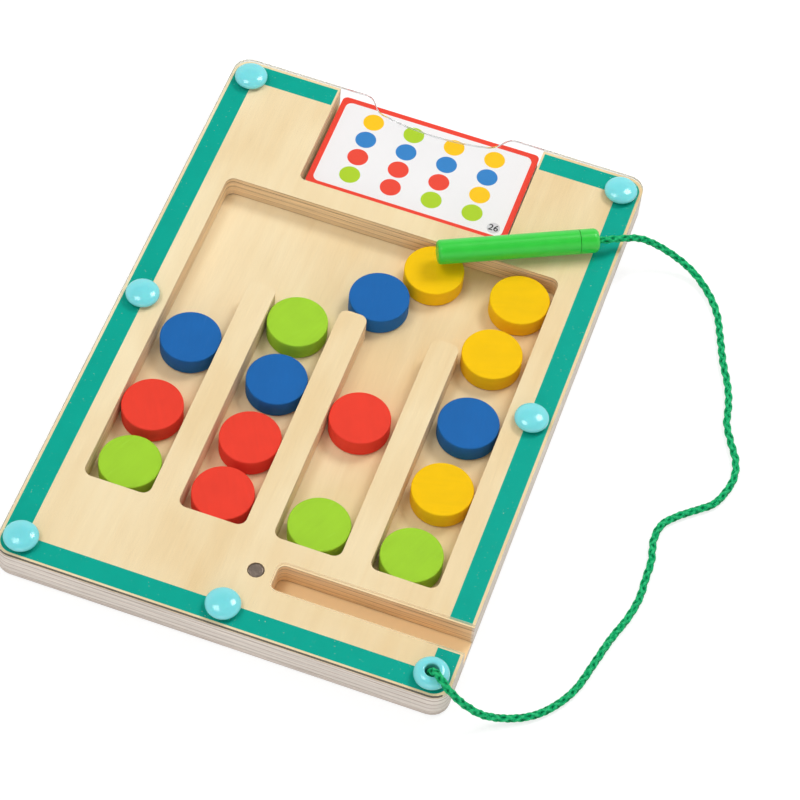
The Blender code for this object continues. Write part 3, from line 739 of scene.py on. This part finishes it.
def moulded_plastic(name, tint, roughness):
    """Glossy moulded plastic with faint flow marks."""
    shader = Shader(name)
    flow = shader.noise((7, 7, 7), detail=3.0, distortion=0.8)
    shader.set(Base_Color=shader.vary(flow, tint, 0.95))
    shader.set(Roughness=shader.tone(flow, roughness, roughness + 0.06))
    shader.set(Coat_Weight=0.15, Coat_Roughness=0.06, Subsurface_Weight=0.08, Subsurface_Scale=2 * MM)
    shader.bump(shader.noise((0.5, 0.5, 0.5), detail=2.0), 0.004 * MM)
    return shader.material


def puck_paint(name, tint, turn):
    """Satin paint on turned wood, with faint lines of its grain and a few pale scratches."""
    shader = Shader(name)
    grain = shader.noise((0.9, 16, 0.9), detail=4.0, roughness=0.65, distortion=0.2, turn=turn)
    scratch = shader.noise((0.35, 11, 0.35), detail=1.0, turn=turn + 0.12)
    cloud = shader.noise((11, 11, 11), detail=2.0)
    orange_peel = shader.noise((0.6, 0.6, 0.6), detail=2.0)
    base = shader.darken(shader.vary(grain, tint, 0.935), shader.tone(cloud, 0.96, 1.02))
    pale = [min(1.0, level * 1.1 + 0.05) for level in tint]
    base = shader.mix(shader.span(scratch, 0.74, 0.8, 0.0, 0.7), base, pale)
    shader.set(Base_Color=base, Roughness=shader.tone(cloud, 0.5, 0.6), Specular_IOR_Level=0.08)
    shader.bump(shader.weigh(grain, 0.7, orange_peel, 0.3), 0.04 * MM)
    return shader.material


def brushed_metal(name, tint, roughness):
    shader = Shader(name)
    brush = shader.noise((0.12, 3.0, 3.0), detail=3.0)
    stain = shader.noise((4, 4, 4), detail=2.0)
    shader.set(Base_Color=shader.vary(stain, tint, 0.9), Metallic=1.0)
    shader.set(Roughness=shader.tone(brush, roughness, roughness + 0.14))
    shader.bump(brush, 0.006 * MM)
    return shader.material


def card_dots(shader, look, middle):
    """A mask of the dots in their rows and columns, and the ink of the dot at each place."""
    x, y, _ = shader.place()
    count = len(CARD_ROWS)
    cells = []
    offs = []
    mask = 1.0
    for value, centre, shift, pitch in (
        (x, middle.x, look.dots_shift_x / MM, look.column_pitch / MM),
        (y, middle.y, look.dots_shift_y / MM, look.row_pitch / MM),
    ):
        first = centre + shift - pitch * count / 2
        along = shader.math("DIVIDE", shader.math("SUBTRACT", value, first), pitch)
        cell = shader.math("FLOOR", along)
        off = shader.math("SUBTRACT", shader.math("SUBTRACT", along, cell), 0.5)
        offs.append(shader.math("MULTIPLY", off, pitch))
        mask = shader.math("MULTIPLY", mask, shader.math("GREATER_THAN", cell, -0.5))
        mask = shader.math("MULTIPLY", mask, shader.math("LESS_THAN", cell, count - 0.5))
        cells.append(cell)
    away = shader.math("SUBTRACT", shader.root_of_squares(offs), look.dot_radius / MM)
    mask = shader.math("MULTIPLY", mask, shader.within(away))

    inks = {"Y": look.dot_yellow, "B": look.dot_blue, "R": look.dot_red, "G": look.dot_green}
    order = "".join(CARD_ROWS)
    stops = [(index / len(order), inks[letter]) for index, letter in enumerate(order)]
    column, row = cells
    number = shader.math("ADD", shader.math("MULTIPLY", row, count), column)
    position = shader.math("DIVIDE", shader.math("ADD", number, 0.5), len(order))
    return mask, shader.ramp(position, stops, "CONSTANT")


def card_print(look):
    """Coated card with a red border, four columns of four dots and a disc for the number."""
    shader = Shader("card_print")
    middle = middle_of("pattern_card") / MM
    half = half_of("pattern_card")
    border = look.border / MM
    panel = shader.rounded_box(middle, (half.x - border, half.y - border), look.border_radius / MM)
    tone = shader.noise((18, 18, 18), detail=2.0)
    base = shader.mix(shader.within(panel), look.frame_red, shader.vary(tone, look.white, 0.985))
    dots, ink = card_dots(shader, look, middle)
    base = shader.mix(dots, base, ink)
    radius = look.disc_radius / MM
    disc_place = (middle.x + DISC_FROM_MIDDLE_MM[0], middle.y + DISC_FROM_MIDDLE_MM[1])
    disc = shader.within(shader.rounded_box(disc_place, (radius, radius), radius - 0.001))
    base = shader.mix(disc, base, look.disc_grey)
    on_top = shader.above(top_of("pattern_card") - CARD_REACH_MM)
    shader.set(Base_Color=shader.mix(on_top, look.white, base))
    shader.set(Roughness=shader.tone(tone, 0.4, 0.5), Specular_IOR_Level=0.15)
    return shader.material


def card_stock(look):
    """Cut edges of a stack of cards: thin even layers."""
    shader = Shader("card_stock")
    layer = shader.math("FRACT", shader.math("DIVIDE", shader.place()[2], look.card_sheet / MM))
    seam = shader.span(shader.math("ABSOLUTE", shader.math("SUBTRACT", layer, 0.5)), 0.36, 0.48)
    base = shader.vary(shader.noise((12, 12, 0.5), detail=2.0), look.white, 0.94)
    # Painted shade: the edge darkens in the seams between the cards.
    shader.set(Base_Color=shader.darken(base, shader.span(seam, 0.0, 1.0, 1.0, 0.62)), Roughness=0.6)
    shader.bump(seam, 0.05 * MM)
    return shader.material


def plain_ink(name, tint):
    shader = Shader(name)
    shader.set(Base_Color=shader.vary(shader.noise((2, 2, 2), detail=2.0), tint, 0.85), Roughness=0.45)
    return shader.material


def cord_yarn(name, tint, braided):
    """Silky filaments: on a braid, bright on the crests and dark in the gaps between the strands."""
    shader = Shader(name)
    fine = shader.noise((0.5, 0.5, 0.5), detail=3.0, roughness=0.6)
    coarse = shader.noise((1.6, 1.6, 1.6), detail=2.0)
    tone = shader.weigh(fine, 0.4, coarse, 0.6)
    if braided:
        crest = shader.add("ShaderNodeAttribute", attribute_name="crest").outputs["Fac"]
        # Painted highlights on the strands' crests and painted shade in the gaps, from how far each point
        # stands out.
        tone = shader.math("ADD", tone, shader.span(crest, 0.68, 1.06, -0.12, 0.16))
    # The ramp runs from painted shade through the yarn's tint to a painted highlight.
    light = [min(1.0, level * 1.5 + 0.03) for level in tint]
    base = shader.ramp(tone, ((0.34, scaled(tint, 0.42)), (0.5, tint), (0.68, light)))
    shader.set(Base_Color=base, Roughness=0.34, Specular_IOR_Level=0.06)
    shader.bump(fine, 0.06 * MM)
    return shader.material


def smooth_route(points, spacing):
    """Points about one spacing apart on the smooth curve through the route's own points."""
    route = [Vector(point) * MM for point in points]
    route = [2 * route[0] - route[1]] + route + [2 * route[-1] - route[-2]]
    smooth = []
    for before, first, last, after in zip(route, route[1:], route[2:], route[3:]):
        steps = max(1, math.ceil((last - first).length / spacing))
        for step in range(steps):
            t = step / steps
            linear = (last - before) * t
            square = (2 * before - 5 * first + 4 * last - after) * t**2
            cube = (3 * first - before - 3 * last + after) * t**3
            smooth.append((2 * first + linear + square + cube) / 2)
    smooth.append(route[-2])
    return smooth


def heading_at(points, index):
    """The line's direction at one of its points."""
    return (points[min(index + 1, len(points) - 1)] - points[max(index - 1, 0)]).normalized()


def carried_frames(points):
    """Two directions across the line at each point, carried along it without twist."""
    across = Vector((1, 0, 0))
    frames = []
    for index in range(len(points)):
        ahead = heading_at(points, index)
        across = (across - ahead * across.dot(ahead)).normalized()
        frames.append((across.copy(), ahead.cross(across)))
    return frames


class SORTINGBOARD_OT_stage(bpy.types.Operator):
    """Sets up the camera, the lights and the floor"""

    bl_idname = "sorting_board.stage"
    bl_label = "Stage"

    def execute(self, context):
        look = context.scene.sorting_board_stage
        start()
        bpy.ops.object.camera_add(location=look.camera_place, rotation=look.camera_turn)
        camera = context.object
        camera.data.lens = look.lens
        camera.data.sensor_width = 36
        camera.data.clip_end = 50
        context.scene.camera = camera
        self.light("key_light", look.key_place, look.key_size, look.key_power)
        self.light("side_light", look.side_place, look.side_size, look.side_power)
        self.light("fill_light", look.fill_place, look.fill_size, look.fill_power)
        self.floor(look)
        self.world(context.scene, look)
        context.scene.view_settings.view_transform = "Standard"
        return {"FINISHED"}

    def light(self, name, spot, size, energy):
        """A square soft light that faces the board."""
        turn = (-Vector(spot)).to_track_quat("-Z", "Y").to_euler()
        bpy.ops.object.light_add(type="AREA", location=spot, rotation=turn)
        light = bpy.context.object
        light.name = name
        light.data.size = size
        light.data.energy = energy

    def floor(self, look):
        """A white floor that keeps the board's shadow."""
        bpy.ops.mesh.primitive_plane_add(size=look.floor_size, location=(0, 0, -look.floor_drop))
        floor = bpy.context.object
        floor.name = "floor"
        shader = Shader("pale_floor")
        shader.nodes.remove(shader.surface)
        bouncing = shader.add("ShaderNodeBsdfDiffuse")
        shader.put(bouncing.inputs["Color"], (look.floor_bounce,) * 3)
        shaded = shader.add("ShaderNodeBsdfDiffuse")
        shader.put(shaded.inputs["Color"], (look.floor_tone,) * 3)
        glow = shader.add("ShaderNodeEmission")
        shader.put(glow.inputs["Strength"], look.floor_glow)
        both = shader.add("ShaderNodeAddShader")
        shader.put(both.inputs[0], shaded.outputs[0])
        shader.put(both.inputs[1], glow.outputs[0])
        shader.end_in_mix(shader.sees_background(), bouncing, both)
        floor.data.materials.append(shader.material)

    def world(self, scene, look):
        """Even light, and a white background with a dim ceiling in reflections."""
        scene.world = bpy.data.worlds.new("studio")
        studio = Nodes(scene.world, "World Output")
        even = studio.nodes["Background"]
        studio.put(even.inputs["Color"], (1, 1, 1))
        studio.put(even.inputs["Strength"], look.ambient)
        white = studio.add("ShaderNodeBackground")
        split = studio.add("ShaderNodeSeparateXYZ")
        studio.put(split.inputs[0], studio.add("ShaderNodeTexCoord").outputs["Generated"])
        studio.put(white.inputs["Color"], studio.span(split.outputs[2], 0.55, 0.75, 1.0, look.ceiling))
        studio.end_in_mix(studio.sees_background(), even, white)


class SORTINGBOARD_OT_cord(bpy.types.Operator):
    """Braids the cord along its route from the grommet to the pen"""

    bl_idname = "sorting_board.cord"
    bl_label = "Cord"

    def execute(self, context):
        look = context.scene.sorting_board_pen
        path = smooth_route(CORD_ROUTE_MM, ROUTE_SPACING)
        frames = carried_frames(path)
        curve = bpy.data.curves.new("braided_cord", "CURVE")
        curve.dimensions = "3D"
        curve.bevel_depth = look.cord_diameter * look.strand_share
        curve.bevel_resolution = 2
        curve.use_fill_caps = True
        for way in (1, -1):
            for strand in range(look.strand_pairs):
                self.strand(curve, path, frames, look, way, strand)
        cord = bpy.data.objects.new("braided_cord", curve)
        context.scene.collection.objects.link(cord)
        pick(cord)
        bpy.ops.object.convert(target="MESH")
        cord = context.object
        self.mark_crests(cord, path, look.cord_diameter / 2)
        cord.data.materials.clear()
        cord.data.materials.append(cord_yarn("cord_yarn", look.yarn, True))
        bpy.ops.object.shade_smooth()
        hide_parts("cord")
        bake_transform(cord)
        knot_yarn = cord_yarn("knot_yarn", look.yarn, False)
        for node in ("cord_knot", "pen_cord_end"):
            finish_node(node, knot_yarn)
        return {"FINISHED"}

    def strand(self, curve, path, frames, look, way, strand):
        """One strand that winds round the path and dips under every other one that crosses it."""
        spline = curve.splines.new("POLY")
        spline.points.add(len(path) - 1)
        outermost = look.cord_diameter / 2 - look.cord_diameter * look.strand_share
        run = 0.0
        for index, (point, middle) in enumerate(zip(spline.points, path)):
            if index:
                run += (middle - path[index - 1]).length
            turn = 2 * math.pi * run / look.braid_pitch
            angle = way * turn + 2 * math.pi * strand / look.strand_pairs
            weave = way * math.cos(look.strand_pairs * turn)
            radius = outermost * (look.weave_middle + look.weave_depth * weave)
            across, up = frames[index]
            point.co = (*(middle + radius * (math.cos(angle) * across + math.sin(angle) * up)), 1)

    def mark_crests(self, cord, path, radius):
        """Notes how far each point of the braid stands from the cord's middle, as a share of its radius."""
        tree = KDTree(len(path))
        for index, point in enumerate(path):
            tree.insert(point, index)
        tree.balance()
        crest = cord.data.attributes.new("crest", "FLOAT", "POINT")
        for vertex, height in zip(cord.data.vertices, crest.data):
            near, index, _ = tree.find(vertex.co)
            ahead = heading_at(path, index)
            away = vertex.co - near
            height.value = (away - ahead * away.dot(ahead)).length / radius


class SORTINGBOARD_OT_sheets(bpy.types.Operator):
    """Finishes the plywood sheets and the clear cover, with eased edges"""

    bl_idname = "sorting_board.sheets"
    bl_label = "Plywood and Cover"

    def execute(self, context):
        look = context.scene.sorting_board_sheets
        finishes = plywood_face(look), plywood_edge(look)
        for node, name in (("base_board", "plywood_base"), ("maze_frame", "plywood_frame")):
            sheet = copy_node(node, name, look.edge_ease)
            for finish in finishes:
                sheet.data.materials.append(finish)
            self.assign(sheet, 1, is_wall)
            settle(sheet, "board", "birch_plywood", node)
        self.cover(look)
        return {"FINISHED"}

    def cover(self, look):
        """The clear sheet, with frosted edges, a dark front edge and edges like the wood round the tray."""
        cover = copy_node("clear_cover", "acrylic_cover", look.cover_ease)
        for finish in (
            clear_acrylic("clear_acrylic", look.acrylic, 0.012),
            clear_acrylic("acrylic_edge", look.cut_edge, 0.3, clarity=0.75, bending=1.15),
            # Painted shade on the cover's front edge.
            clear_acrylic("acrylic_end", look.front_edge_shade, 0.3, clarity=0.3),
            clear_acrylic("acrylic_lip", look.tray_lip, 0.2, clarity=0.5, bending=1.06),
        ):
            cover.data.materials.append(finish)
        low, high = [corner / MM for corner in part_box("clear_cover")]

        def at_front(face):
            return face.normal.y < -0.7 and face.calc_center_median().y / MM - low.y < FRONT_DEPTH_MM

        def at_tray(face):
            middle = face.calc_center_median() / MM
            beside = abs(middle.y - TRAY_MIDDLE_Y_MM) < TRAY_HALF_MM + LIP_REACH_MM
            return is_wall(face) and beside and 0 < middle.x < high.x - LIP_END_MM

        for slot, test in enumerate((is_wall, at_front, at_tray), 1):
            self.assign(cover, slot, test)
        settle(cover, "board", "clear_plastic", "clear_cover")

    def assign(self, piece, slot, test):
        """Gives the faces that pass the test the material in a slot."""
        pick(piece)
        bpy.ops.object.mode_set(mode="EDIT")
        bpy.ops.mesh.select_mode(type="FACE")
        bpy.ops.mesh.select_all(action="DESELECT")
        for face in bmesh.from_edit_mesh(piece.data).faces:
            face.select_set(test(face))
        bmesh.update_edit_mesh(piece.data)
        piece.active_material_index = slot
        bpy.ops.object.material_slot_assign()
        bpy.ops.object.mode_set(mode="OBJECT")


class SORTINGBOARD_OT_caps(bpy.types.Operator):
    """Turns one domed cap and copies it to every screw"""

    bl_idname = "sorting_board.caps"
    bl_label = "Screw Caps"

    def execute(self, context):
        look = context.scene.sorting_board_fittings
        radius, height = radius_and_height(CAP_NODES[0])
        ease = look.cap_ease
        profile = arc((0, look.cap_lip), (radius, height - look.cap_lip), 90, 0, 18)
        profile[0] = (0, height)
        profile += arc((radius - ease, ease), (ease, ease), 0, -90, 3)
        recess = height - look.cap_crown
        profile += [(look.screw_head, 0), (look.screw_head, recess), (0, recess)]
        first = turned("domed_cap", profile)
        first.data.materials.append(moulded_plastic("cap_plastic", look.plastic, 0.12))
        for node in CAP_NODES:
            stand(duplicate(first, "domed_" + node), "board", "blue_plastic", node)
        bpy.data.objects.remove(first)
        return {"FINISHED"}


class SORTINGBOARD_OT_grommet(bpy.types.Operator):
    """Turns the grommet that the cord leaves through"""

    bl_idname = "sorting_board.grommet"
    bl_label = "Cord Grommet"

    def execute(self, context):
        look = context.scene.sorting_board_fittings
        low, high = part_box("cord_grommet")
        radius = (high.x - low.x) / 2
        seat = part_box(CAP_NODES[0])[0].z
        dome = high.z - seat - look.cap_lip
        flare = look.grommet_flare
        crest = look.grommet_bore + flare
        profile = arc((crest, seat + look.cap_lip), (radius - crest, dome), 90, 0, 18)
        profile += [(radius, seat), (look.grommet_shank, seat), (look.grommet_shank, low.z)]
        profile += [(look.grommet_bore, low.z)]
        profile += arc((crest, high.z - flare), (flare, flare), 180, 90, 10)
        grommet = turned("domed_grommet", profile)
        grommet.location = (*middle_of("cord_grommet").xy, 0)
        grommet.data.materials.append(bpy.data.materials["cap_plastic"])
        settle(grommet, "board", "blue_plastic", "cord_grommet")
        return {"FINISHED"}


class SORTINGBOARD_OT_pucks(bpy.types.Operator):
    """Turns one puck with its pocket and copies it to every place and colour"""

    bl_idname = "sorting_board.pucks"
    bl_label = "Pucks"

    def execute(self, context):
        look = context.scene.sorting_board_pucks
        radius, height = radius_and_height(PUCK_NODES[0])
        ease = look.edge_ease
        profile = [(0, height)]
        profile += arc((radius - ease, height - ease), (ease, ease), 90, 0, 4)
        profile += arc((radius - ease, ease), (ease, ease), 0, -90, 4)
        profile += [(look.pocket_radius, 0), (look.pocket_radius, look.pocket_depth), (0, look.pocket_depth)]
        first = turned("painted_puck", profile, steps=72)
        paints = {
            name: puck_paint(name + "_paint", getattr(look, name), turn) for name, turn in GRAIN_TURNS.items()
        }
        for node in PUCK_NODES:
            shade = node.split("_")[1]
            puck = duplicate(first, "painted_" + node)
            puck.data.materials.append(paints[shade])
            stand(puck, node, "puck_" + shade, node)
        bpy.data.objects.remove(first)
        steel = brushed_metal("slug_steel", context.scene.sorting_board_fittings.steel, 0.3)
        for node in SLUG_NODES:
            finish_node(node, steel)
        return {"FINISHED"}


class SORTINGBOARD_OT_cards(bpy.types.Operator):
    """Prints the pattern card and its number, and finishes the cards under it"""

    bl_idname = "sorting_board.cards"
    bl_label = "Cards"

    def execute(self, context):
        look = context.scene.sorting_board_cards
        finish_node("pattern_card", card_print(look))
        finish_node("card_stack", card_stock(look))
        start()
        bpy.ops.object.text_add(location=(0, 0, 0))
        text = context.object
        text.name = "card_number"
        text.data.body = look.number
        text.data.size = look.number_height
        text.data.align_x = "CENTER"
        text.data.align_y = "CENTER"
        text.data.extrude = look.ink_depth
        text.data.offset = look.number_stroke
        text.data.resolution_u = 4
        bpy.ops.object.convert(target="MESH")
        number = context.object
        disc = middle_of("pattern_card").xy + Vector(DISC_FROM_MIDDLE_MM) * MM
        number.location = (*disc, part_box("pattern_card")[1].z + look.ink_lift)
        number.data.materials.clear()
        number.data.materials.append(plain_ink("number_ink", look.number_ink))
        settle(number, "card", "card")
        return {"FINISHED"}


class SORTINGBOARD_OT_pen(bpy.types.Operator):
    """Turns the pen's barrel and tail plug"""

    bl_idname = "sorting_board.pen"
    bl_label = "Pen"

    def execute(self, context):
        look = context.scene.sorting_board_pen
        plastic = moulded_plastic("pen_plastic", look.plastic, 0.3)
        head = look.total - look.plug_head
        barrel_end = head - look.seam
        bore = look.radius - look.wall
        ease = look.tip_ease
        profile = [(0, 0)]
        profile += arc((look.radius - ease, ease), (ease, ease), -90, 0, 8)
        profile += [(look.radius, barrel_end), (bore, barrel_end), (bore, look.wall), (0, look.wall)]
        barrel = turned("turned_barrel", profile)
        self.lay(barrel, look, plastic)
        settle(barrel, "pen", "green_plastic", "pen_barrel")

        spigot = bore - look.seam
        spigot_end = barrel_end - look.plug_spigot
        ease = look.plug_ease
        profile = [(look.plug_hole, spigot_end), (spigot, spigot_end), (spigot, head), (look.radius, head)]
        profile += arc((look.radius - ease, look.total - ease), (ease, ease), 0, 90, 8)
        profile += [(look.plug_hole, look.total), (look.plug_hole, spigot_end)]
        plug = turned("turned_tail_plug", profile)
        self.lay(plug, look, plastic)
        settle(plug, "pen", "green_plastic", "pen_tail_plug")
        nickel = context.scene.sorting_board_fittings.nickel
        finish_node("pen_magnet", brushed_metal("pen_magnet_nickel", nickel, 0.25))
        return {"FINISHED"}

    def lay(self, piece, look, plastic):
        """Lays a piece that was turned round Z along the pen's line, with its tail at the cord's end."""
        piece.data.materials.append(plastic)
        piece.rotation_euler = (0, math.pi / 2, look.heading)
        tail = Vector(CORD_ROUTE_MM[-1]) * MM
        along = Vector((math.cos(look.heading), math.sin(look.heading), 0))
        piece.location = tail - along * (look.total + look.cord_gap)


class SORTINGBOARD_OT_hardware(bpy.types.Operator):
    """Finishes the screws and turns the tray's magnet"""

    bl_idname = "sorting_board.hardware"
    bl_label = "Screws and Magnet"

    def execute(self, context):
        look = context.scene.sorting_board_fittings
        steel = brushed_metal("screw_steel", look.steel, 0.3)
        for node in SCREW_NODES:
            finish_node(node, steel)
        radius, height = radius_and_height("tray_magnet")
        ease = look.magnet_ease
        profile = [(0, height)]
        profile += arc((radius - ease, height - ease), (ease, ease), 90, 0, 5)
        profile += [(radius, 0), (0, 0)]
        magnet = turned("tray_magnet_disc", profile, steps=48)
        magnet.data.materials.append(brushed_metal("magnet_nickel", look.nickel, 0.28))
        stand(magnet, "board", "magnet", "tray_magnet")
        return {"FINISHED"}


OPERATORS = (
    SORTINGBOARD_OT_stage,
    SORTINGBOARD_OT_cord,
    SORTINGBOARD_OT_sheets,
    SORTINGBOARD_OT_caps,
    SORTINGBOARD_OT_grommet,
    SORTINGBOARD_OT_pucks,
    SORTINGBOARD_OT_cards,
    SORTINGBOARD_OT_pen,
    SORTINGBOARD_OT_hardware,
)
GROUPS = {
    "sorting_board_stage": SortingBoardStage,
    "sorting_board_sheets": SortingBoardSheets,
    "sorting_board_fittings": SortingBoardFittings,
    "sorting_board_pucks": SortingBoardPucks,
    "sorting_board_cards": SortingBoardCards,
    "sorting_board_pen": SortingBoardPen,
}


class SORTINGBOARD_PT_panel(bpy.types.Panel):
    """Lists the operators and the sizes and colours that they read"""

    bl_idname = "SORTINGBOARD_PT_panel"
    bl_label = "Sorting Board"
    bl_space_type = "VIEW_3D"
    bl_region_type = "UI"
    bl_category = "Sorting Board"

    def draw(self, context):
        for operator in OPERATORS:
            self.layout.operator(operator.bl_idname)
        for name, group in GROUPS.items():
            column = self.layout.column(heading=group.__doc__)
            for setting in group.__annotations__:
                column.prop(getattr(context.scene, name), setting)


CLASSES = (*GROUPS.values(), *OPERATORS, SORTINGBOARD_PT_panel)


def register():
    for made in CLASSES:
        bpy.utils.register_class(made)
    for name, group in GROUPS.items():
        setattr(bpy.types.Scene, name, PointerProperty(type=group))


def unregister():
    for name in GROUPS:
        delattr(bpy.types.Scene, name)
    for made in reversed(CLASSES):
        bpy.utils.unregister_class(made)


def main():
    register()
    bpy.ops.sorting_board.stage()
    bpy.ops.sorting_board.cord()
    bpy.ops.sorting_board.sheets()
    bpy.ops.sorting_board.caps()
    bpy.ops.sorting_board.grommet()
    bpy.ops.sorting_board.pucks()
    bpy.ops.sorting_board.cards()
    bpy.ops.sorting_board.pen()
    bpy.ops.sorting_board.hardware()


if __name__ == "__main__":
    main()
